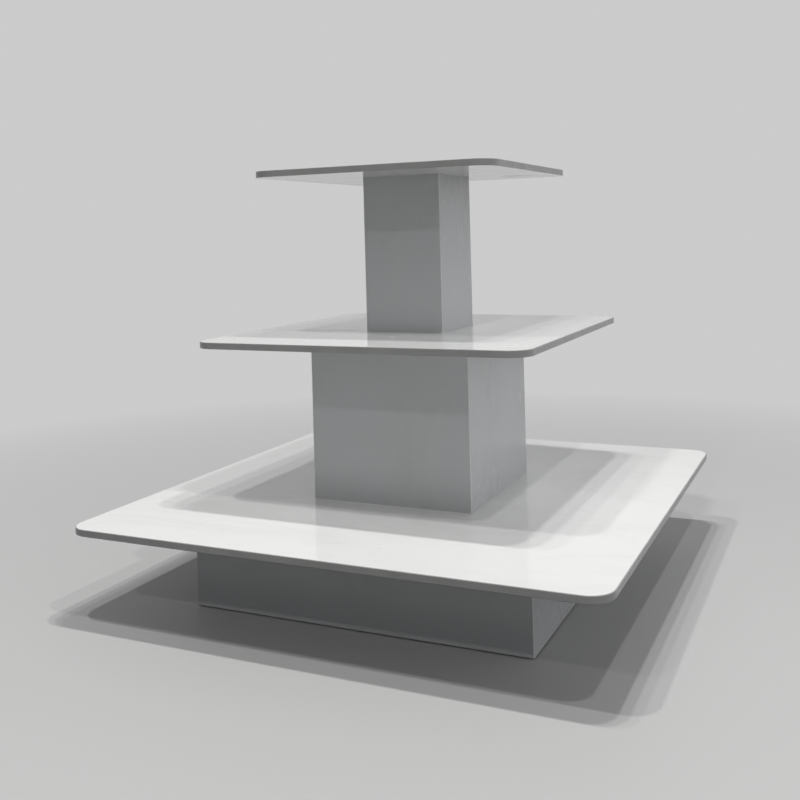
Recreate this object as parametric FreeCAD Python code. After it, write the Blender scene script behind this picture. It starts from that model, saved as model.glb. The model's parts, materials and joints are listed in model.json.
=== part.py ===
import FreeCAD, Part
import math
import os

# Tiered display table in millimetres.
# Origin: centre of the footprint on the floor. +Z is up, the front faces -Y, the right side faces +X.
# Three square tiers stand on one centre line. Each tier is a faced board with a grey edge band,
# screwed from below to a mitred box plinth. The middle and top tiers drop over cleats on the slab below.

# ---- Driving dimensions ----

BASE_SLAB_SIDE = 1200.0
MIDDLE_SLAB_SIDE = 800.0
TOP_SLAB_SIDE = 600.0
SLAB_BOARD = 15.0
SLAB_CORNER_RADIUS = 50.0
BAND_THICKNESS = 2.0
BAND_ARRIS = 1.0
BAND_JOINT_GAP = 0.3

BASE_PLINTH_SIDE = 800.0
MIDDLE_PLINTH_SIDE = 400.0
TOP_PLINTH_SIDE = 200.0
BASE_CLEAR_HEIGHT = 200.0
MIDDLE_CLEAR_HEIGHT = 375.0
TOP_CLEAR_HEIGHT = 375.0
PANEL_BOARD = 15.0
PANEL_ARRIS = 2.0

TONGUE_THICKNESS = 4.0
TONGUE_DEPTH = 6.0
TONGUE_CLEARANCE = 0.1
TONGUE_INSET = 5.0

POST_SIDE = 30.0
RAIL_WIDTH = 30.0
RAIL_HEIGHT = 30.0
DIVIDER_BOARD = 15.0
LAP_CLEARANCE = 0.2

CLEAT_WIDTH = 25.0
CLEAT_HEIGHT = 30.0
CLEAT_SIDE_CLEARANCE = 1.5
CLEAT_END_CLEARANCE = 5.0
CLEAT_ARRIS = 4.0

SCREW_SHANK_DIAMETER = 4.0
SCREW_HEAD_DIAMETER = 8.0
SCREW_HEAD_HEIGHT = 2.2
SCREW_TIP_LENGTH = 4.0
SCREW_TIP_DIAMETER = 1.0
SCREW_CLEARANCE = 0.05
SCREW_FLAT_COUNT = 8
SLAB_COVER_OVER_SCREW = 5.0

GLIDE_DIAMETER = 22.0
GLIDE_THICKNESS = 3.0
GLIDE_EDGE = 0.8
GLIDE_PIN_DIAMETER = 2.4
GLIDE_PIN_LENGTH = 14.0
GLIDE_PIN_CLEARANCE = 0.05
GLIDE_FLAT_COUNT = 16

# ---- Levels worked out from the driving dimensions ----

BASE_SLAB_LOW = BASE_CLEAR_HEIGHT
BASE_SLAB_TOP = BASE_SLAB_LOW + SLAB_BOARD
MIDDLE_SLAB_LOW = BASE_SLAB_TOP + MIDDLE_CLEAR_HEIGHT
MIDDLE_SLAB_TOP = MIDDLE_SLAB_LOW + SLAB_BOARD
TOP_SLAB_LOW = MIDDLE_SLAB_TOP + TOP_CLEAR_HEIGHT

SCREW_BITE = SLAB_BOARD - SLAB_COVER_OVER_SCREW
RAIL_SCREW_LENGTH = RAIL_HEIGHT + SCREW_BITE
CLEAT_SCREW_LENGTH = CLEAT_HEIGHT + SCREW_BITE

# The dividers stand under the walls of the middle plinth.
DIVIDER_OFFSET = MIDDLE_PLINTH_SIDE / 2 - PANEL_BOARD / 2

UP = FreeCAD.Vector(0, 0, 1)
ORIGIN = FreeCAD.Vector(0, 0, 0)
SIDES = ("front", "right", "back", "left")
HALF_ROOT = math.sqrt(0.5)


# ---- Shared shapes ----

def write(node, solids):
    """Write one node as a STEP file. A list of solids becomes a group of separate solids."""
    shape = solids[0] if len(solids) == 1 else Part.makeCompound(solids)
    shape.exportStep("parts/" + node + ".step")


def turned(shape, quarter):
    """Copy of a shape turned about the centre line by a number of quarter turns."""
    copy = shape.copy()
    copy.rotate(ORIGIN, UP, 90 * quarter)
    return copy


def all_round(shape):
    """The same shape on each of the four sides."""
    return [turned(shape, quarter) for quarter in range(4)]


def box(low_corner, high_corner):
    """Box between two opposite corners."""
    sizes = [high - low for low, high in zip(low_corner, high_corner)]
    return Part.makeBox(sizes[0], sizes[1], sizes[2], FreeCAD.Vector(*low_corner))


def cut(shape, tools):
    """A solid with a list of tools cut from it."""
    for tool in tools:
        shape = shape.cut(tool)
    return shape.Solids[0]


def inside(plinth_side):
    """Distance from the centre line to the inner face of a plinth's panels."""
    return plinth_side / 2 - PANEL_BOARD


def rounded_board(side, radius, low, thickness):
    """Square board with round corners."""
    half = side / 2
    flat = half - radius
    bulge = flat + radius * HALF_ROOT
    edges = []
    for quarter in range(4):
        straight = Part.makeLine(FreeCAD.Vector(-flat, -half, low), FreeCAD.Vector(flat, -half, low))
        start = FreeCAD.Vector(flat, -half, low)
        middle = FreeCAD.Vector(bulge, -bulge, low)
        end = FreeCAD.Vector(half, -flat, low)
        corner = Part.Arc(start, middle, end).toShape()
        edges.append(turned(straight, quarter))
        edges.append(turned(corner, quarter))
    return Part.Face(Part.Wire(edges)).extrude(FreeCAD.Vector(0, 0, thickness))


def polygon_face(corners):
    """Flat face between its corners."""
    return Part.Face(Part.makePolygon(corners + [corners[0]]))


def faceted_turning(points, flats):
    """Small turned part from (radius, height) points, with flats for its round faces to keep it light."""
    rings = []
    for radius, height in points:
        turns = [2 * math.pi * (step + 0.5) / flats for step in range(flats)]
        rings.append([FreeCAD.Vector(radius * math.cos(a), radius * math.sin(a), height) for a in turns])
    faces = [polygon_face(rings[0]), polygon_face(rings[-1])]
    for lower, upper in zip(rings, rings[1:]):
        for step in range(flats):
            after = (step + 1) % flats
            faces.append(polygon_face([lower[step], lower[after], upper[after], upper[step]]))
    solid = Part.Solid(Part.Shell(faces))
    if solid.Volume < 0:
        solid.reverse()
    return solid


# ---- Slabs ----

def edge_band(side, low):
    """Strip glued round the edge of a slab. Its outer arrises are eased and its ends meet at the back."""
    outer = rounded_board(side, SLAB_CORNER_RADIUS, low, SLAB_BOARD)
    rims = [edge for edge in outer.Edges if edge.BoundBox.ZLength < SLAB_BOARD / 2]
    eased = outer.makeChamfer(BAND_ARRIS, rims)
    core_side = side - 2 * BAND_THICKNESS
    core = rounded_board(core_side, SLAB_CORNER_RADIUS - BAND_THICKNESS, low, SLAB_BOARD)
    joint = box(
        (-BAND_JOINT_GAP / 2, side / 2 - 2 * BAND_THICKNESS, low),
        (BAND_JOINT_GAP / 2, side / 2 + BAND_THICKNESS, low + SLAB_BOARD),
    )
    return cut(eased, [core, joint])


def slab(side, low, holes):
    """Faced board inside its edge band, with the holes of the screws that enter it."""
    board = rounded_board(
        side - 2 * BAND_THICKNESS, SLAB_CORNER_RADIUS - BAND_THICKNESS, low, SLAB_BOARD
    )
    return cut(board, holes)


# ---- Plinths ----

def tongue(plinth_side, low, height, clearance):
    """Loose tongue across the mitre at the front right corner, or its groove when given a clearance."""
    length = 2 * (TONGUE_DEPTH + clearance)
    thickness = TONGUE_THICKNESS + 2 * clearance
    bar = box((-length / 2, -thickness / 2, low), (length / 2, thickness / 2, low + height))
    bar.rotate(ORIGIN, UP, 45)
    reach = inside(plinth_side) + TONGUE_INSET
    bar.translate(FreeCAD.Vector(reach, -reach, 0))
    return bar


def front_panel(plinth_side, low, height):
    """Front panel of a plinth: mitred and grooved at both ends, with its outer arrises eased."""
    half = plinth_side / 2
    inner = inside(plinth_side)
    eased = half - PANEL_ARRIS
    tip = eased + PANEL_ARRIS * HALF_ROOT
    bend = math.radians(22.5)
    side_reach = eased + PANEL_ARRIS * math.sin(bend)
    face_reach = eased + PANEL_ARRIS * math.cos(bend)
    right_arc = Part.Arc(
        FreeCAD.Vector(eased, -half, low),
        FreeCAD.Vector(side_reach, -face_reach, low),
        FreeCAD.Vector(tip, -tip, low),
    )
    left_arc = Part.Arc(
        FreeCAD.Vector(-tip, -tip, low),
        FreeCAD.Vector(-side_reach, -face_reach, low),
        FreeCAD.Vector(-eased, -half, low),
    )
    outline = [
        Part.makeLine(FreeCAD.Vector(-eased, -half, low), FreeCAD.Vector(eased, -half, low)),
        right_arc.toShape(),
        Part.makeLine(FreeCAD.Vector(tip, -tip, low), FreeCAD.Vector(inner, -inner, low)),
        Part.makeLine(FreeCAD.Vector(inner, -inner, low), FreeCAD.Vector(-inner, -inner, low)),
        Part.makeLine(FreeCAD.Vector(-inner, -inner, low), FreeCAD.Vector(-tip, -tip, low)),
        left_arc.toShape(),
    ]
    panel = Part.Face(Part.Wire(outline)).extrude(FreeCAD.Vector(0, 0, height))
    groove = tongue(plinth_side, low, height, TONGUE_CLEARANCE)
    return cut(panel, [groove, turned(groove, -1)])


def corner_post(plinth_side, low, height, holes):
    """Post glued into the front right corner of a plinth."""
    inner = inside(plinth_side)
    post = box((inner - POST_SIDE, -inner, low), (inner, -inner + POST_SIDE, low + height))
    return cut(post, holes)


def front_rail(plinth_side, low, holes):
    """Rail along the inside of a plinth's front panel, between the corner posts."""
    inner = inside(plinth_side)
    reach = inner - POST_SIDE
    rail = box((-reach, -inner, low), (reach, -inner + RAIL_WIDTH, low + RAIL_HEIGHT))
    return cut(rail, holes)


def write_plinth(tier, plinth_side, low, height):
    """The four mitred panels of a plinth and the tongues that join them."""
    panel = front_panel(plinth_side, low, height)
    for quarter, side in enumerate(SIDES):
        write(tier + "_" + side + "_panel", [turned(panel, quarter)])
    write(tier + "_mitre_tongues", all_round(tongue(plinth_side, low, height, 0)))


# ---- Fasteners ----

def screw(length, clearance):
    """Countersunk screw with its head at the origin and its tip up, or its hole when given a clearance."""
    head = SCREW_HEAD_DIAMETER / 2 + clearance
    shank = SCREW_SHANK_DIAMETER / 2 + clearance
    tip = SCREW_TIP_DIAMETER / 2 + clearance
    return faceted_turning([
        (head, -clearance),
        (shank, SCREW_HEAD_HEIGHT),
        (shank, length - SCREW_TIP_LENGTH),
        (tip, length + clearance),
    ], SCREW_FLAT_COUNT)


def rail_screws(plinth_side, slab_low, offsets, clearance):
    """Screws up through the front rail of a plinth into the slab that it carries."""
    depth = -inside(plinth_side) + RAIL_WIDTH / 2
    placed = []
    for offset in offsets:
        one = screw(RAIL_SCREW_LENGTH, clearance)
        one.translate(FreeCAD.Vector(offset, depth, slab_low - RAIL_HEIGHT))
        placed.append(one)
    return placed


def cleat_reach(plinth_side):
    """Half the length of a cleat, which stops short of the corner posts of the plinth round it."""
    return inside(plinth_side) - POST_SIDE - CLEAT_END_CLEARANCE


def cleat_screws(plinth_side, slab_top, clearance):
    """Screws down through the front cleat into the slab below it."""
    depth = -inside(plinth_side) + CLEAT_SIDE_CLEARANCE + CLEAT_WIDTH / 2
    placed = []
    for side in (-1, 1):
        one = screw(CLEAT_SCREW_LENGTH, clearance)
        one.rotate(ORIGIN, FreeCAD.Vector(1, 0, 0), 180)
        one.translate(FreeCAD.Vector(side * cleat_reach(plinth_side) / 2, depth, slab_top + CLEAT_HEIGHT))
        placed.append(one)
    return placed


def front_cleat(plinth_side, slab_top):
    """Locating cleat inside the front panel of a plinth. Its upper edges lead the plinth on."""
    outer = inside(plinth_side) - CLEAT_SIDE_CLEARANCE
    reach = cleat_reach(plinth_side)
    top = slab_top + CLEAT_HEIGHT
    corners = [
        FreeCAD.Vector(-reach, -outer, slab_top),
        FreeCAD.Vector(-reach, -outer + CLEAT_WIDTH, slab_top),
        FreeCAD.Vector(-reach, -outer + CLEAT_WIDTH, top),
        FreeCAD.Vector(-reach, -outer + CLEAT_ARRIS, top),
        FreeCAD.Vector(-reach, -outer, top - CLEAT_ARRIS),
    ]
    section = Part.Face(Part.makePolygon(corners + [corners[0]]))
    cleat = section.extrude(FreeCAD.Vector(2 * reach, 0, 0))
    return cut(cleat, cleat_screws(plinth_side, slab_top, SCREW_CLEARANCE))


def glide(clearance):
    """Glide moulded round its pin, resting on the floor at the origin."""
    rim = GLIDE_DIAMETER / 2
    pin = GLIDE_PIN_DIAMETER / 2 + clearance
    return faceted_turning([
        (rim - GLIDE_EDGE, 0),
        (rim, GLIDE_EDGE),
        (rim, GLIDE_THICKNESS),
        (pin, GLIDE_THICKNESS),
        (pin, GLIDE_THICKNESS + GLIDE_PIN_LENGTH + clearance),
    ], GLIDE_FLAT_COUNT)


def corner_glide(clearance):
    """Glide under the front right corner post of the base."""
    place = inside(BASE_PLINTH_SIDE) - POST_SIDE / 2
    one = glide(clearance)
    one.translate(FreeCAD.Vector(place, -place, 0))
    return one


def rail_glide(clearance):
    """Glide under the middle of the front floor rail of the base."""
    one = glide(clearance)
    one.translate(FreeCAD.Vector(0, -inside(BASE_PLINTH_SIDE) + RAIL_WIDTH / 2, 0))
    return one


# ---- Divider grid of the base ----

def base_divider(slot_low, slot_high):
    """Divider board along X on the centre line, notched over the rails and slotted for its crossings."""
    inner = inside(BASE_PLINTH_SIDE)
    half_board = DIVIDER_BOARD / 2
    board = box((-inner, -half_board, GLIDE_THICKNESS), (inner, half_board, BASE_SLAB_LOW))
    notch_inner = inner - RAIL_WIDTH - LAP_CLEARANCE
    slot_half = half_board + LAP_CLEARANCE
    notch_levels = (
        (GLIDE_THICKNESS, GLIDE_THICKNESS + RAIL_HEIGHT + LAP_CLEARANCE),
        (BASE_SLAB_LOW - RAIL_HEIGHT - LAP_CLEARANCE, BASE_SLAB_LOW),
    )
    tools = []
    for side in (-1, 1):
        near, far = sorted((side * notch_inner, side * inner))
        for low, high in notch_levels:
            tools.append(box((near, -half_board, low), (far, half_board, high)))
        crossing = side * DIVIDER_OFFSET
        near, far = crossing - slot_half, crossing + slot_half
        tools.append(box((near, -half_board, slot_low), (far, half_board, slot_high)))
    return cut(board, tools)


def write_dividers():
    """Two boards along X, slotted from above, crossed by two along Y, slotted from below."""
    half_level = (GLIDE_THICKNESS + BASE_SLAB_LOW) / 2
    across = base_divider(half_level - LAP_CLEARANCE, BASE_SLAB_LOW)
    for name, side in (("front", -1), ("back", 1)):
        one = across.copy()
        one.translate(FreeCAD.Vector(0, side * DIVIDER_OFFSET, 0))
        write("base_" + name + "_divider", [one])
    along = turned(base_divider(GLIDE_THICKNESS, half_level), 1)
    for name, side in (("left", -1), ("right", 1)):
        one = along.copy()
        one.translate(FreeCAD.Vector(side * DIVIDER_OFFSET, 0, 0))
        write("base_" + name + "_divider", [one])


# ---- Tiers ----

def everywhere(shapes):
    """Each of a list of shapes on each of the four sides."""
    return [turned(shape, quarter) for shape in shapes for quarter in range(4)]


def write_slab(tier, slab_side, slab_low, plinth_side, offsets, plinth_above):
    """A tier's slab, its edge band, the rails and screws below it, and the cleats of the tier above."""
    screws = rail_screws(plinth_side, slab_low, offsets, 0)
    holes = everywhere(rail_screws(plinth_side, slab_low, offsets, SCREW_CLEARANCE))
    if plinth_above:
        slab_top = slab_low + SLAB_BOARD
        holes += everywhere(cleat_screws(plinth_above, slab_top, SCREW_CLEARANCE))
        write(tier + "_slab_cleats", all_round(front_cleat(plinth_above, slab_top)))
        write(tier + "_cleat_screws", everywhere(cleat_screws(plinth_above, slab_top, 0)))
    write(tier + "_slab", [slab(slab_side, slab_low, holes)])
    write(tier + "_slab_edge_band", [edge_band(slab_side, slab_low)])
    write(tier + "_slab_screws", everywhere(screws))
    rail_holes = rail_screws(plinth_side, slab_low, offsets, SCREW_CLEARANCE)
    write(tier + "_slab_rails", all_round(front_rail(plinth_side, slab_low - RAIL_HEIGHT, rail_holes)))


def write_upper_tier(tier, slab_side, slab_low, plinth_side, plinth_low, plinth_above):
    """A middle or top tier: a plinth that is open below and the slab on it."""
    height = slab_low - plinth_low
    write_plinth(tier, plinth_side, plinth_low, height)
    write(tier + "_corner_posts", all_round(corner_post(plinth_side, plinth_low, height, [])))
    offset = (inside(plinth_side) - POST_SIDE) / 2
    write_slab(tier, slab_side, slab_low, plinth_side, (-offset, offset), plinth_above)


def write_base_tier():
    """The base tier, with its floor rails, divider grid and glides."""
    height = BASE_SLAB_LOW - GLIDE_THICKNESS
    write_plinth("base", BASE_PLINTH_SIDE, GLIDE_THICKNESS, height)
    post = corner_post(BASE_PLINTH_SIDE, GLIDE_THICKNESS, height, [corner_glide(GLIDE_PIN_CLEARANCE)])
    write("base_corner_posts", all_round(post))
    floor_rail = front_rail(BASE_PLINTH_SIDE, GLIDE_THICKNESS, [rail_glide(GLIDE_PIN_CLEARANCE)])
    write("base_floor_rails", all_round(floor_rail))
    write("base_glides", everywhere([corner_glide(0), rail_glide(0)]))
    write_dividers()
    # One screw in each bay of a rail: between the dividers, and between a divider and a post.
    offset = (DIVIDER_OFFSET + inside(BASE_PLINTH_SIDE) - POST_SIDE) / 2
    offsets = (-offset, 0, offset)
    write_slab("base", BASE_SLAB_SIDE, BASE_SLAB_LOW, BASE_PLINTH_SIDE, offsets, MIDDLE_PLINTH_SIDE)


os.makedirs("parts", exist_ok=True)
write_base_tier()
write_upper_tier(
    "middle", MIDDLE_SLAB_SIDE, MIDDLE_SLAB_LOW, MIDDLE_PLINTH_SIDE, BASE_SLAB_TOP, TOP_PLINTH_SIDE
)
write_upper_tier("top", TOP_SLAB_SIDE, TOP_SLAB_LOW, TOP_PLINTH_SIDE, MIDDLE_SLAB_TOP, None)
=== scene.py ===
import bmesh
import bpy
import json
import math
from mathutils import Matrix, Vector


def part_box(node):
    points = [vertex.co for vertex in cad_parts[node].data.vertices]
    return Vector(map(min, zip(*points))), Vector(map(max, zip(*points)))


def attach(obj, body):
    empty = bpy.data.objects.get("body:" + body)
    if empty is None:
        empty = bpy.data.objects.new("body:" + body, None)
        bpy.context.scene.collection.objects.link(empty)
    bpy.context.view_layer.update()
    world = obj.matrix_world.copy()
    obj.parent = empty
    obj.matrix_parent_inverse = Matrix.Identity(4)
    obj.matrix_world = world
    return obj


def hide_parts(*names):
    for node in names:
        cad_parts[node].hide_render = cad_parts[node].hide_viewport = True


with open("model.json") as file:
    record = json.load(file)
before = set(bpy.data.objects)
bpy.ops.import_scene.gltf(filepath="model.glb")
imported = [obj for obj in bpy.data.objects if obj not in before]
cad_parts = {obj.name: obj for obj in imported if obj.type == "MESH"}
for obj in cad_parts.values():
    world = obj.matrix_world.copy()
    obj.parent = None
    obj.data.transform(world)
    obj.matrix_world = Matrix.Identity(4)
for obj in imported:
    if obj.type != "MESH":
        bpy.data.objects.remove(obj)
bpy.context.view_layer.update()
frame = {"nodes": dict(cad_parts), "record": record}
NODES = frame["nodes"]


# ---- Shader graph helpers ----

class Graph:
    """The node tree of a material or world, with short calls for the nodes that they share."""

    def __init__(self, owner):
        owner.use_nodes = True
        self.owner = owner
        self.tree = owner.node_tree
        self.shader = self.tree.nodes.get("Principled BSDF") or self.tree.nodes["Background"]
        self.output = self.tree.nodes.get("Material Output") or self.tree.nodes["World Output"]

    def node(self, kind, settings=None, **inputs):
        """Adds a node. Inputs are values or sockets, by name with underscores for spaces."""
        made = self.tree.nodes.new(kind)
        for name, value in (settings or {}).items():
            setattr(made, name, value)
        for name, value in inputs.items():
            self.feed(made.inputs[name.replace("_", " ")], value)
        return made

    def feed(self, socket, value):
        """Links a socket into an input, or sets its value."""
        if isinstance(value, bpy.types.NodeSocket):
            self.tree.links.new(value, socket)
        else:
            socket.default_value = value

    def place(self):
        """Position on the object in metres, the same at rest as in the CAD frame."""
        return self.node("ShaderNodeTexCoord").outputs["Object"]

    def facing(self):
        """Direction that the surface faces, on the object."""
        return self.node("ShaderNodeTexCoord").outputs["Normal"]

    def axes(self, vector):
        """X, Y and Z of a vector."""
        apart = self.node("ShaderNodeSeparateXYZ", Vector=vector)
        return [apart.outputs[axis] for axis in "XYZ"]

    def stretched(self, scale, turn=0.0):
        """The position, turned about Z and scaled, for textures that run one way."""
        mapping = self.node("ShaderNodeMapping", Vector=self.place(), Rotation=(0, 0, turn), Scale=scale)
        return mapping.outputs["Vector"]

    def noise(self, vector, scale, detail=4.0, roughness=0.5, distortion=0.0):
        """Noise, its scale in patches to the metre."""
        made = self.node("ShaderNodeTexNoise", Vector=vector, Scale=scale, Detail=detail,
                         Roughness=roughness, Distortion=distortion)
        return made.outputs["Fac"]

    def spread(self, value, low, high, to_low=0.0, to_high=1.0):
        """Maps a value from one range to another, held at its ends."""
        made = self.node("ShaderNodeMapRange", {"clamp": True}, Value=value)
        for name, number in (("From Min", low), ("From Max", high), ("To Min", to_low), ("To Max", to_high)):
            self.feed(made.inputs[name], number)
        return made.outputs["Result"]

    def math(self, operation, first, *others):
        """A math operation on one value, or on several from left to right."""
        joined = first
        for other in others or (0.0,):
            made = self.node("ShaderNodeMath", {"operation": operation})
            self.feed(made.inputs[0], joined)
            self.feed(made.inputs[1], other)
            joined = made.outputs["Value"]
        return joined

    def scaled(self, value, factor):
        return self.math("MULTIPLY", value, factor)

    def mix(self, amount, first, second):
        """Blends two colours."""
        made = self.node("ShaderNodeMix", {"data_type": "RGBA"})
        self.feed(made.inputs["Factor"], amount)
        self.feed(made.inputs["A"], first)
        self.feed(made.inputs["B"], second)
        return made.outputs["Result"]

    def bump(self, height, strength, distance):
        """Surface direction with fine relief, its depth given by distance in metres."""
        made = self.node("ShaderNodeBump", Height=height, Strength=strength, Distance=distance)
        return made.outputs["Normal"]

    def finish(self, **inputs):
        """Feeds the main shader and gives back the material or world."""
        for name, value in inputs.items():
            self.feed(self.shader.inputs[name.replace("_", " ")], value)
        return self.owner

    def blend_into_output(self, amount, first, second):
        """Sends a blend of two shaders to the output."""
        blend = self.node("ShaderNodeMixShader", Fac=amount)
        self.feed(blend.inputs[1], first)
        self.feed(blend.inputs[2], second)
        self.feed(self.output.inputs["Surface"], blend.outputs["Shader"])


def material_graph(name):
    return Graph(bpy.data.materials.new(name))


def grey(value, warmth=0.0):
    """A near neutral colour. Warmth above 0 is yellower, and below 0 is bluer."""
    return (value * (1 + warmth), value, value * (1 - warmth), 1.0)


# ---- Materials ----

SLAB_WHITE = grey(0.865, 0.002)
SLAB_MARK = grey(0.74, 0.012)
SLAB_STAIN = grey(0.66, 0.035)
SLAB_SCRATCH = grey(0.70)
SLAB_ROUGHNESS = 0.085
SLAB_IOR = 1.4
# How strongly each kind of mark colours the white face.
SMEAR_STRENGTH = 0.45
HAND_STRENGTH = 0.40
DUST_STRENGTH = 0.6
STAIN_STRENGTH = 0.32
CURL_STRENGTH = 0.55
# How much roughness each kind of mark adds to the white face.
FILM_DULLING = 0.22
HAIRLINE_DULLING = 0.12
STAIN_DULLING = 0.30
DUST_DULLING = 0.25

BAND_GREYS = (grey(0.37, 0.006), grey(0.41, 0.006))
BAND_NICK = grey(0.62)
BAND_ROUGHNESS = (0.18, 0.32)

PLINTH_GREYS = (grey(0.60, -0.018), grey(0.57, -0.010))
# Painted highlight: the rounded upright corners are coloured lighter than the faces, standing in for the
# light they catch.
PLINTH_ARRIS_HIGHLIGHT = grey(0.78)
PLINTH_SPECK = grey(0.22)
PLINTH_SCUFF = grey(0.30, 0.02)
PLINTH_ROUGHNESS = (0.20, 0.26)
SMEAR_DULLING = 0.08
SCUFF_DULLING = 0.3
# Depth of the painted skin in metres, more than the rounding of the arrises takes off.
SKIN_DEPTH = 0.0025
SKIN_BLEND = 0.0001
# Heights in metres between which the scuffs of shoes fade out.
SCUFFS_FADE = (0.02, 0.09)

RAW_BOARD_BROWNS = ((0.40, 0.29, 0.18, 1), (0.55, 0.42, 0.28, 1))
RAW_BOARD_ROUGHNESS = 0.78
PINE = ((0.72, 0.53, 0.33, 1), (0.60, 0.40, 0.22, 1))
BIRCH = ((0.70, 0.56, 0.38, 1), (0.62, 0.46, 0.29, 1))
TIMBER_ROUGHNESS = (0.50, 0.66)
# How much the growth rings are drawn out along the grain.
GRAIN_STRETCH = 0.09
ZINC_TINTS = ((0.62, 0.60, 0.52, 1), (0.72, 0.68, 0.55, 1))
ZINC_ROUGHNESS = (0.24, 0.38)
NYLON_GREYS = (grey(0.045), grey(0.075))
NYLON_ROUGHNESS = 0.42


def raw_fibreboard(graph):
    """Colour of the bare brown board inside holes and on cut edges."""
    fibres = graph.noise(graph.place(), 900.0, detail=6.0, roughness=0.7)
    return graph.mix(graph.spread(fibres, 0.3, 0.7), *RAW_BOARD_BROWNS)


def level_faces(graph):
    """1 on faces that look up or down, 0 on upright ones."""
    up = graph.axes(graph.facing())[2]
    return graph.spread(graph.math("ABSOLUTE", up), 0.4, 0.6)


def arris_highlight_mask(graph):
    """1 on the rounded upright corners of a plinth, where a painted highlight goes, 0 on its flat faces."""
    right, back, _ = graph.axes(graph.facing())
    corner = graph.math("ABSOLUTE", graph.math("MULTIPLY", right, back))
    return graph.spread(corner, 0.1, 0.3)


def outer_faces(graph, half_side):
    """1 on the outer skin of a square plinth, 0 inside it."""
    x, y, _ = graph.axes(graph.place())
    reach = graph.math("MAXIMUM", graph.math("ABSOLUTE", x), graph.math("ABSOLUTE", y))
    skin = half_side - SKIN_DEPTH
    return graph.spread(reach, skin - SKIN_BLEND, skin + SKIN_BLEND)


def hairlines(graph, turn, scale):
    """Thin straight scratches, broken up along their length. Turn is their direction on the board."""
    lines = graph.noise(graph.stretched((2.5, 170.0, 1.0), turn), scale, detail=2.0, distortion=0.25)
    patches = graph.noise(graph.place(), 5.0 + turn, detail=2.0)
    return graph.math("MULTIPLY", graph.spread(lines, 0.70, 0.74), graph.spread(patches, 0.52, 0.60))


def curled_scratches(graph):
    """Short curved scratches, in a few patches of the board."""
    bends = graph.noise(graph.place(), 12.0, detail=1.0, roughness=0.4, distortion=2.2)
    from_line = graph.math("ABSOLUTE", graph.math("SUBTRACT", bends, 0.5))
    patches = graph.spread(graph.noise(graph.place(), 4.2, detail=1.0), 0.60, 0.66)
    return graph.math("MULTIPLY", graph.spread(from_line, 0.002, 0.006, 1.0, 0.0), patches)


def white_gloss_face():
    """High-gloss white face with wiping and hand marks, stains, scratches and a little dust."""
    graph = material_graph("white_gloss_face")
    wipes = graph.noise(graph.stretched((1.0, 2.6, 1.0), 0.6), 2.2, roughness=0.58, distortion=1.6)
    smears = graph.spread(wipes, 0.52, 0.76)
    hands = graph.spread(graph.noise(graph.place(), 11.0, roughness=0.6, distortion=0.8), 0.60, 0.74)
    blots = graph.noise(graph.stretched((1.0, 2.0, 1.0)), 6.5, detail=5.0, roughness=0.65, distortion=1.1)
    stains = graph.spread(blots, 0.63, 0.72)
    hairs = graph.math("MAXIMUM", hairlines(graph, 0.9, 3.0), hairlines(graph, -0.5, 2.4))
    curls = graph.scaled(curled_scratches(graph), CURL_STRENGTH)
    dust = graph.spread(graph.noise(graph.place(), 420.0, detail=2.0), 0.76, 0.80)
    film = graph.math("MAXIMUM", graph.scaled(smears, SMEAR_STRENGTH), graph.scaled(hands, HAND_STRENGTH))
    fine_marks = graph.scaled(graph.math("MAXIMUM", dust, hairs), DUST_STRENGTH)
    marks = graph.math("MAXIMUM", film, fine_marks)

    face = graph.mix(marks, SLAB_WHITE, SLAB_MARK)
    face = graph.mix(graph.scaled(stains, STAIN_STRENGTH), face, SLAB_STAIN)
    face = graph.mix(curls, face, SLAB_SCRATCH)
    colour = graph.mix(level_faces(graph), raw_fibreboard(graph), face)
    worn = graph.math("MAXIMUM", curls, stains)
    dull = graph.math("ADD", graph.scaled(film, FILM_DULLING), graph.scaled(hairs, HAIRLINE_DULLING),
                      graph.scaled(worn, STAIN_DULLING))
    rough = graph.math("ADD", dull, SLAB_ROUGHNESS, graph.scaled(dust, DUST_DULLING))
    ripple = graph.bump(graph.noise(graph.place(), 60.0, detail=2.0), strength=0.12, distance=0.0004)
    return graph.finish(Base_Color=colour, Roughness=rough, IOR=SLAB_IOR, Normal=ripple)


def grey_edge_band():
    """Grey gloss edging with fine buffing lines along its length and a few pale nicks."""
    graph = material_graph("grey_edge_band")
    lines = graph.noise(graph.stretched((1.0, 1.0, 90.0)), 25.0, detail=3.0, roughness=0.6)
    clouds = graph.noise(graph.place(), 14.0, detail=3.0)
    nicks = graph.spread(graph.noise(graph.place(), 180.0, detail=2.0), 0.76, 0.79, 0.0, 0.5)
    colour = graph.mix(graph.spread(clouds, 0.35, 0.65), *BAND_GREYS)
    colour = graph.mix(nicks, colour, BAND_NICK)
    rough = graph.spread(lines, 0.3, 0.7, *BAND_ROUGHNESS)
    relief = graph.bump(lines, strength=0.15, distance=0.0002)
    return graph.finish(Base_Color=colour, Roughness=rough, Normal=relief)


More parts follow.
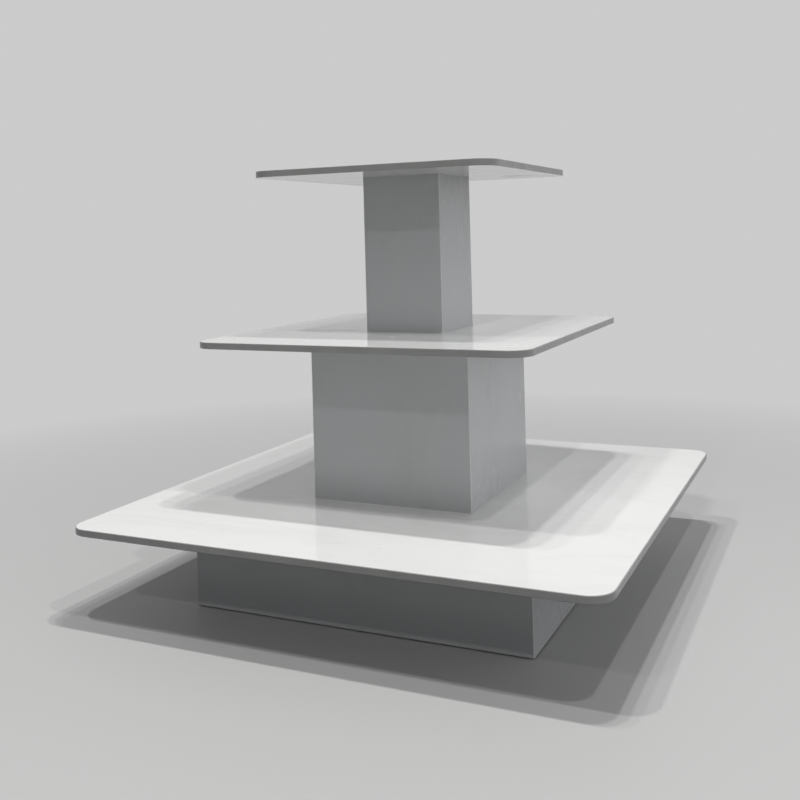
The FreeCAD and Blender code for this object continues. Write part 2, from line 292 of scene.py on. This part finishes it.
def grey_satin_panel(tier):
    """Satin grey plinth face with a fine texture, faint wiping marks, a painted highlight on the upright
    corners, specks and scuffs low down.
    """
    graph = material_graph("grey_satin_panel_" + tier)
    grain = graph.noise(graph.place(), 1400.0, detail=3.0, roughness=0.6)
    wipes = graph.noise(graph.stretched((1.6, 1.6, 0.8)), 3.2, detail=5.0, roughness=0.6, distortion=0.8)
    smears = graph.spread(wipes, 0.45, 0.70)
    specks = graph.spread(graph.noise(graph.place(), 90.0, detail=2.0), 0.775, 0.80, 0.0, 0.5)
    low = graph.spread(graph.axes(graph.place())[2], *SCUFFS_FADE, 1.0, 0.0)
    kicks = graph.noise(graph.stretched((9.0, 9.0, 60.0)), 1.6, detail=3.0, roughness=0.6)
    scuffs = graph.math("MULTIPLY", low, graph.spread(kicks, 0.62, 0.70, 0.0, 0.35))
    painted = outer_faces(graph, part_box(tier + "_right_panel")[1][0])

    colour = graph.mix(smears, *PLINTH_GREYS)
    # Painted highlight: the upright corners are coloured lighter than the flat faces.
    colour = graph.mix(arris_highlight_mask(graph), colour, PLINTH_ARRIS_HIGHLIGHT)
    colour = graph.mix(specks, colour, PLINTH_SPECK)
    colour = graph.mix(scuffs, colour, PLINTH_SCUFF)
    colour = graph.mix(painted, raw_fibreboard(graph), colour)
    satin = graph.spread(grain, 0.3, 0.7, *PLINTH_ROUGHNESS)
    satin = graph.math("ADD", satin, graph.scaled(smears, SMEAR_DULLING), graph.scaled(scuffs, SCUFF_DULLING))
    rough = graph.math("MAXIMUM", satin, graph.spread(painted, 0.0, 1.0, RAW_BOARD_ROUGHNESS, 0.0))
    relief = graph.bump(grain, strength=0.10, distance=0.0001)
    return graph.finish(Base_Color=colour, Roughness=rough, Normal=relief)


def timber(name, upright, light, dark):
    """Planed softwood. Its grain runs up, or along the side of the table that the piece is on."""
    graph = material_graph(name)
    x, y, z = graph.axes(graph.place())
    if upright:
        along, across, through = z, x, y
    else:
        front = graph.math("GREATER_THAN", graph.math("ABSOLUTE", y), graph.math("ABSOLUTE", x))
        side = graph.math("SUBTRACT", 1.0, front)
        along = graph.math("ADD", graph.math("MULTIPLY", x, front), graph.math("MULTIPLY", y, side))
        across = graph.math("ADD", graph.math("MULTIPLY", y, front), graph.math("MULTIPLY", x, side))
        through = z
    drawn_out = graph.scaled(along, GRAIN_STRETCH)
    grain = graph.node("ShaderNodeCombineXYZ", X=drawn_out, Y=across, Z=through).outputs["Vector"]
    rings = graph.noise(grain, 75.0, detail=5.0, roughness=0.6, distortion=1.4)
    fibres = graph.noise(grain, 900.0, detail=3.0, roughness=0.6)
    colour = graph.mix(graph.spread(rings, 0.35, 0.65), light, dark)
    rough = graph.spread(fibres, 0.3, 0.7, *TIMBER_ROUGHNESS)
    relief = graph.bump(fibres, strength=0.25, distance=0.0004)
    return graph.finish(Base_Color=colour, Roughness=rough, Normal=relief)


def bare_board():
    """Raw fibreboard of the dividers."""
    graph = material_graph("bare_board")
    fibres = graph.noise(graph.place(), 700.0, roughness=0.7)
    relief = graph.bump(fibres, strength=0.2, distance=0.0002)
    return graph.finish(Base_Color=raw_fibreboard(graph), Roughness=RAW_BOARD_ROUGHNESS, Normal=relief)


def zinc():
    """Zinc plated steel with a yellowish passivated tint."""
    graph = material_graph("zinc_plate")
    clouds = graph.noise(graph.place(), 400.0, detail=3.0)
    colour = graph.mix(graph.spread(clouds, 0.35, 0.65), *ZINC_TINTS)
    rough = graph.spread(clouds, 0.3, 0.7, *ZINC_ROUGHNESS)
    return graph.finish(Base_Color=colour, Metallic=1.0, Roughness=rough)


def nylon():
    """Dark moulded nylon."""
    graph = material_graph("glide_nylon")
    grain = graph.noise(graph.place(), 1500.0, detail=2.0)
    wear = graph.spread(graph.noise(graph.place(), 160.0, detail=3.0, roughness=0.6), 0.45, 0.65)
    relief = graph.bump(grain, strength=0.2, distance=0.0001)
    return graph.finish(Base_Color=graph.mix(wear, *NYLON_GREYS), Roughness=NYLON_ROUGHNESS, Normal=relief)


STEEL = zinc()
NYLON = nylon()


def dress_nodes():
    """Gives every CAD node the material of its slot."""
    shared = {
        "slab_board": white_gloss_face(),
        "edge_band": grey_edge_band(),
        "tongue_plywood": timber("tongue_plywood", True, *BIRCH),
        "divider_board": bare_board(),
        "screw_steel": STEEL,
        "glide_nylon": NYLON,
    }
    posts = timber("upright_pine", True, *PINE)
    rails = timber("level_pine", False, *PINE)
    panels = {tier: grey_satin_panel(tier) for tier in ("base", "middle", "top")}
    for part in frame["record"]["subparts"]:
        node, slot = part["node"], part["material_slot"]
        if slot == "plinth_panel":
            material = panels[node.split("_")[0]]
        elif slot == "frame_timber":
            material = posts if node.endswith("posts") else rails
        else:
            material = shared[slot]
        mesh = NODES[node].data
        mesh.materials.clear()
        mesh.materials.append(material)


# ---- Small turned pieces, in metres ----

SCREW_HEAD_RADIUS = 0.0037
SCREW_HEAD_RIM = 0.0003
SCREW_HEAD_HEIGHT = 0.0022
SCREW_SHANK_RADIUS = 0.0018
SCREW_TIP_RADIUS = 0.0003
SCREW_TIP_LENGTH = 0.004
RECESS_REACH = 0.0021
RECESS_ARM = 0.0005
RECESS_DEPTH = 0.0016
RECESS_TAPER = 0.55
SCREW_SIDES = 32

GLIDE_RADIUS = 0.0109
GLIDE_THICKNESS = 0.003
GLIDE_EDGE = 0.0012
GLIDE_EDGE_STEPS = 4
GLIDE_PIN_RADIUS = 0.0011
GLIDE_SIDES = 64

SHARP_ANGLE = math.radians(35)


def islands(node):
    """Boxes (low corner, high corner) of the separate solids in a CAD node."""
    mesh = NODES[node].data
    root = list(range(len(mesh.vertices)))

    def find(index):
        while root[index] != index:
            root[index] = root[root[index]]
            index = root[index]
        return index

    at_place = {}
    for vertex in mesh.vertices:
        key = tuple(round(c, 6) for c in vertex.co)
        root[find(vertex.index)] = find(at_place.setdefault(key, vertex.index))
    for edge in mesh.edges:
        root[find(edge.vertices[0])] = find(edge.vertices[1])
    groups = {}
    for vertex in mesh.vertices:
        groups.setdefault(find(vertex.index), []).append(vertex.co)
    boxes = []
    for places in groups.values():
        boxes.append([tuple(pick(p[axis] for p in places) for axis in range(3)) for pick in (min, max)])
    return sorted(boxes)


def ring(mesh, radius, height, sides):
    """Corners of a level circle about the origin."""
    turns = [2 * math.pi * step / sides for step in range(sides)]
    return [mesh.verts.new((radius * math.cos(a), radius * math.sin(a), height)) for a in turns]


def bridge(mesh, lower, upper):
    """A band of faces between two loops of corners."""
    for step in range(len(lower)):
        after = (step + 1) % len(lower)
        mesh.faces.new((lower[step], lower[after], upper[after], upper[step]))


def turn_profile(mesh, first, profile, sides):
    """Turns a profile of (radius, height) points on from a first ring, and closes its end."""
    last = first
    for radius, height in profile:
        following = ring(mesh, radius, height, sides)
        bridge(mesh, last, following)
        last = following
    mesh.faces.new(last)


def cross_loop(mesh, reach, arm, height):
    """Twelve corners of a cross."""
    quarter = ((reach, -arm), (reach, arm), (arm, arm))
    corners = []
    for turn in range(4):
        c, s = (1, 0, -1, 0)[turn], (0, 1, 0, -1)[turn]
        corners += [mesh.verts.new((x * c - y * s, x * s + y * c, height)) for x, y in quarter]
    return corners


def loop_edges(mesh, loop):
    """Edges of a closed loop of corners, made where they are missing."""
    return [mesh.edges.get((a, b)) or mesh.edges.new((a, b)) for a, b in zip(loop, loop[1:] + loop[:1])]


def add_screw(mesh, length):
    """Countersunk screw with a cross recess, its head at the origin and its tip up."""
    rim = ring(mesh, SCREW_HEAD_RADIUS, 0.0, SCREW_SIDES)
    turn_profile(mesh, rim, (
        (SCREW_HEAD_RADIUS, SCREW_HEAD_RIM),
        (SCREW_SHANK_RADIUS, SCREW_HEAD_HEIGHT),
        (SCREW_SHANK_RADIUS, length - SCREW_TIP_LENGTH),
        (SCREW_TIP_RADIUS, length),
    ), SCREW_SIDES)
    mouth = cross_loop(mesh, RECESS_REACH, RECESS_ARM, 0.0)
    floor = cross_loop(mesh, RECESS_REACH * RECESS_TAPER, RECESS_ARM * RECESS_TAPER, RECESS_DEPTH)
    bridge(mesh, mouth, floor)
    mesh.faces.new(floor)
    bmesh.ops.triangle_fill(mesh, use_beauty=True, edges=loop_edges(mesh, rim) + loop_edges(mesh, mouth))


def add_glide(mesh, length):
    """Round glide with a soft lower edge, moulded on its pin and resting at the origin."""
    edge = []
    for step in range(GLIDE_EDGE_STEPS + 1):
        a = math.radians(-90 + 90 * step / GLIDE_EDGE_STEPS)
        edge.append((
            GLIDE_RADIUS - GLIDE_EDGE + GLIDE_EDGE * math.cos(a),
            GLIDE_EDGE + GLIDE_EDGE * math.sin(a),
        ))
    foot = ring(mesh, *edge[0], GLIDE_SIDES)
    mesh.faces.new(foot)
    turn_profile(mesh, foot, edge[1:] + [
        (GLIDE_RADIUS, GLIDE_THICKNESS),
        (GLIDE_PIN_RADIUS, GLIDE_THICKNESS),
        (GLIDE_PIN_RADIUS, length),
    ], GLIDE_SIDES)


def small_pieces(node, body, name, material, add, downward):
    """Replaces a node's plain solids by detailed ones in the same places, all in one piece."""
    whole = bmesh.new()
    for low, high in islands(node):
        start = len(whole.verts)
        add(whole, high[2] - low[2])
        whole.verts.ensure_lookup_table()
        made = whole.verts[start:]
        if downward:
            bmesh.ops.rotate(whole, verts=made, cent=(0, 0, 0), matrix=Matrix.Rotation(math.pi, 3, "X"))
        foot = high[2] if downward else low[2]
        centre = ((low[0] + high[0]) / 2, (low[1] + high[1]) / 2, foot)
        bmesh.ops.translate(whole, verts=made, vec=centre)
    bmesh.ops.recalc_face_normals(whole, faces=whole.faces)
    mesh = bpy.data.meshes.new(name)
    whole.to_mesh(mesh)
    whole.free()
    mesh.polygons.foreach_set("use_smooth", [True] * len(mesh.polygons))
    mesh.set_sharp_from_angle(angle=SHARP_ANGLE)
    mesh.materials.append(material)
    piece = bpy.data.objects.new(name, mesh)
    bpy.context.scene.collection.objects.link(piece)
    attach(piece, body)
    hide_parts(node)


def fasteners_and_glides():
    """Turned screws and moulded glides in place of the plain ones."""
    for tier in ("base", "middle", "top"):
        small_pieces(tier + "_slab_screws", tier + "_tier", tier + "_slab_screws_turned",
                     STEEL, add_screw, False)
    for tier in ("base", "middle"):
        small_pieces(tier + "_cleat_screws", tier + "_tier", tier + "_cleat_screws_turned",
                     STEEL, add_screw, True)
    small_pieces("base_glides", "base_tier", "base_glides_moulded", NYLON, add_glide, False)


# ---- Stage, light and camera ----

BACKGROUND = grey(0.60)
FLOOR = grey(0.54)
# The floor's colour for soft light: darker than it looks, so that it lights the plinths little from below.
FLOOR_BOUNCE = grey(0.10)
FLOOR_ROUGHNESS = 0.6
FLOOR_RADIUS = 40.0
FLOOR_SIDES = 96
# The floor lies a hair below the glides.
FLOOR_DROP = 0.0002
# Distances from the centre line between which the floor fades into the background.
FLOOR_FADE = (1.0, 2.8)


def background_rays(graph):
    """1 for the rays that see the pale studio: camera, mirror and see-through ones. 0 for soft light."""
    path = graph.node("ShaderNodeLightPath")
    kinds = ("Is Camera Ray", "Is Glossy Ray", "Is Transmission Ray")
    return graph.math("MAXIMUM", *[path.outputs[kind] for kind in kinds])


def stage_floor():
    """Plain pale floor that fades into the background colour away from the table."""
    bpy.ops.mesh.primitive_circle_add(
        vertices=FLOOR_SIDES, radius=FLOOR_RADIUS, fill_type="NGON", location=(0, 0, -FLOOR_DROP)
    )
    floor = bpy.context.object
    floor.name = "stage_floor"
    graph = material_graph("stage_floor")
    seen = background_rays(graph)
    graph.finish(Base_Color=graph.mix(seen, FLOOR_BOUNCE, FLOOR), Roughness=FLOOR_ROUGHNESS)
    length = graph.node("ShaderNodeVectorMath", {"operation": "LENGTH"}, Vector=graph.place())
    far = graph.spread(length.outputs["Value"], *FLOOR_FADE)
    far_colour = graph.mix(seen, FLOOR_BOUNCE, BACKGROUND)
    glow = graph.node("ShaderNodeEmission", Color=far_colour, Strength=1.0)
    graph.blend_into_output(far, graph.shader.outputs["BSDF"], glow.outputs["Emission"])
    floor.data.materials.append(graph.owner)


AMBIENT_COLOUR = (0.98, 0.99, 1.0, 1)
# Strength of the soft light from the low and high end of X, Y and Z: left and right, front and
# back, below and above.
AMBIENT_SIDES = ((0.27, 0.92), (0.10, 0.85), (0.0, 0.0))
# Half the width of the change from one side to the other.
SIDE_BLEND = 0.001


def world_light():
    """Soft light that differs from side to side, and a plain pale background where the camera sees it."""
    world = bpy.data.worlds.new("studio")
    bpy.context.scene.world = world
    graph = Graph(world)
    direction = graph.node("ShaderNodeTexCoord").outputs["Generated"]
    total = 0.0
    for part, (low, high) in zip(graph.axes(direction), AMBIENT_SIDES):
        side = graph.spread(part, -SIDE_BLEND, SIDE_BLEND, low, high)
        total = graph.math("ADD", graph.math("MULTIPLY", side, graph.math("MULTIPLY", part, part)), total)
    graph.finish(Color=AMBIENT_COLOUR, Strength=total)
    backdrop = graph.node("ShaderNodeBackground", Color=BACKGROUND)
    seen = background_rays(graph)
    graph.blend_into_output(seen, graph.shader.outputs["Background"], backdrop.outputs["Background"])


CEILING_HEIGHT = 3.5
# Ceiling lights: (x, y) in metres, and the part that each plays in the light on the base slab.
CEILING_LIGHTS = (
    (0.61, -0.43, 0.205),
    (0.30, -0.43, 0.160),
    (0.01, -0.43, 0.090),
    (-0.38, -1.32, 0.180),
    (1.56, -1.50, 0.105),
    (-0.28, -4.08, 0.035),
)
LAMP_DIAMETER = 0.12
LAMP_COLOUR = (1.0, 0.997, 0.985)


def ceiling_lights():
    """Round lamps. Their light keeps its strength with distance, so all three slabs are lit alike."""
    drop = CEILING_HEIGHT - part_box("base_slab")[1][2]
    for number, (x, y, share) in enumerate(CEILING_LIGHTS):
        lamp = bpy.data.lights.new("ceiling_%d" % number, "AREA")
        lamp.shape = "DISK"
        lamp.size = LAMP_DIAMETER
        slant = math.cos(math.atan2(math.hypot(x, y), drop))
        lamp.energy = share * (math.pi * drop) ** 2 / slant ** 4
        lamp.color = LAMP_COLOUR
        lamp.use_nodes = True
        tree = lamp.node_tree
        falloff = tree.nodes.new("ShaderNodeLightFalloff")
        falloff.inputs["Strength"].default_value = (slant / drop) ** 2
        tree.links.new(falloff.outputs["Constant"], tree.nodes["Emission"].inputs["Strength"])
        holder = bpy.data.objects.new(lamp.name, lamp)
        holder.location = (x, y, CEILING_HEIGHT)
        # The gloss slabs don't mirror the lamps, which would clip to white when seen from above.
        holder.visible_glossy = False
        bpy.context.scene.collection.objects.link(holder)


CAMERA_PLACE = (0.998, -2.263, 0.8414)
# In degrees: the swing to the left of straight back, the dip below level, and the roll, which is
# anticlockwise where it is above 0.
CAMERA_SWING = 24.87
CAMERA_DIP = 0.38
CAMERA_ROLL = -1.51
CAMERA_LENS = 44.82
CAMERA_SENSOR = 36.0
CAMERA_SHIFT = -0.2


def photo_camera():
    """Camera a little above the middle tier, near the front right corner, looking almost level."""
    camera = bpy.data.cameras.new("camera")
    camera.lens = CAMERA_LENS
    camera.sensor_width = CAMERA_SENSOR
    camera.shift_y = CAMERA_SHIFT
    holder = bpy.data.objects.new("camera", camera)
    swing = Matrix.Rotation(math.radians(CAMERA_SWING), 4, "Z")
    tilt = Matrix.Rotation(math.radians(90 - CAMERA_DIP), 4, "X")
    roll = Matrix.Rotation(math.radians(CAMERA_ROLL), 4, "Z")
    holder.matrix_world = Matrix.Translation(CAMERA_PLACE) @ swing @ tilt @ roll
    bpy.context.scene.collection.objects.link(holder)
    bpy.context.scene.camera = holder


bpy.context.scene.view_settings.view_transform = "Standard"
dress_nodes()
fasteners_and_glides()
stage_floor()
world_light()
ceiling_lights()
photo_camera()
